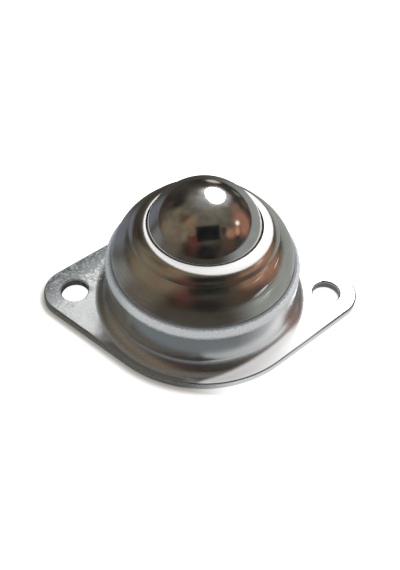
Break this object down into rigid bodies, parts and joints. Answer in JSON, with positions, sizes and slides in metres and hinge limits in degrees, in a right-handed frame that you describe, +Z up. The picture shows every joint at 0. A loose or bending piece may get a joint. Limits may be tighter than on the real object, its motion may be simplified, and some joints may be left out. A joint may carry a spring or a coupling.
{
  "type": "ball transfer unit",
  "caption": "Pressed steel ball transfer unit: a load ball rolls in any direction on a bed of bearing balls, in a domed housing on a lozenge flange with two fixing holes.",
  "frame": {"origin": "centre of the mounting face, under the load ball", "axes": "+Z up through the load ball, +X through the two fixing holes, +Y across the flange"},
  "size_m": [0.072, 0.051, 0.0332],
  "materials": {
    "zinc_plate": "satin",
    "polished_cover": "gloss",
    "pan_plate": "satin",
    "hardened_cup": "satin",
    "load_ball_steel": "gloss",
    "bearing_ball_steel": "gloss"
  },
  "bodies": {
    "housing": {"base_flange": "zinc_plate", "top_cover": "polished_cover", "bottom_pan": "pan_plate", "bearing_cup": "hardened_cup"},
    "bearing_balls": {"bearing_ball_01": "bearing_ball_steel", "bearing_ball_02": "bearing_ball_steel", "bearing_ball_03": "bearing_ball_steel", "bearing_ball_04": "bearing_ball_steel", "bearing_ball_05": "bearing_ball_steel", "bearing_ball_06": "bearing_ball_steel", "bearing_ball_07": "bearing_ball_steel", "bearing_ball_08": "bearing_ball_steel", "bearing_ball_09": "bearing_ball_steel", "bearing_ball_10": "bearing_ball_steel", "bearing_ball_11": "bearing_ball_steel", "bearing_ball_12": "bearing_ball_steel", "bearing_ball_13": "bearing_ball_steel", "bearing_ball_14": "bearing_ball_steel", "bearing_ball_15": "bearing_ball_steel", "bearing_ball_16": "bearing_ball_steel", "bearing_ball_17": "bearing_ball_steel", "bearing_ball_18": "bearing_ball_steel", "bearing_ball_19": "bearing_ball_steel", "bearing_ball_20": "bearing_ball_steel", "bearing_ball_21": "bearing_ball_steel", "bearing_ball_22": "bearing_ball_steel", "bearing_ball_23": "bearing_ball_steel", "bearing_ball_24": "bearing_ball_steel", "bearing_ball_25": "bearing_ball_steel", "bearing_ball_26": "bearing_ball_steel", "bearing_ball_27": "bearing_ball_steel", "bearing_ball_28": "bearing_ball_steel", "bearing_ball_29": "bearing_ball_steel", "bearing_ball_30": "bearing_ball_steel", "bearing_ball_31": "bearing_ball_steel", "bearing_ball_32": "bearing_ball_steel", "bearing_ball_33": "bearing_ball_steel", "bearing_ball_34": "bearing_ball_steel", "bearing_ball_35": "bearing_ball_steel", "bearing_ball_36": "bearing_ball_steel", "bearing_ball_37": "bearing_ball_steel", "bearing_ball_38": "bearing_ball_steel", "bearing_ball_39": "bearing_ball_steel", "bearing_ball_40": "bearing_ball_steel", "bearing_ball_41": "bearing_ball_steel", "bearing_ball_42": "bearing_ball_steel", "bearing_ball_43": "bearing_ball_steel", "bearing_ball_44": "bearing_ball_steel", "bearing_ball_45": "bearing_ball_steel", "bearing_ball_46": "bearing_ball_steel", "bearing_ball_47": "bearing_ball_steel", "bearing_ball_48": "bearing_ball_steel", "bearing_ball_49": "bearing_ball_steel", "bearing_ball_50": "bearing_ball_steel"},
    "load_ball": {"load_ball": "load_ball_steel"}
  },
  "joints": [
    {"name": "bearing_ball_circulation", "type": "hinge", "parent": "housing", "child": "bearing_balls", "pos_m": [0, 0, 0.02051], "axis": [0, 0, 1], "continuous": true},
    {"name": "load_ball_roll", "type": "hinge", "parent": "bearing_balls", "child": "load_ball", "pos_m": [0, 0, 0.02051], "axis": [0, 1, 0], "continuous": true}
  ]
}
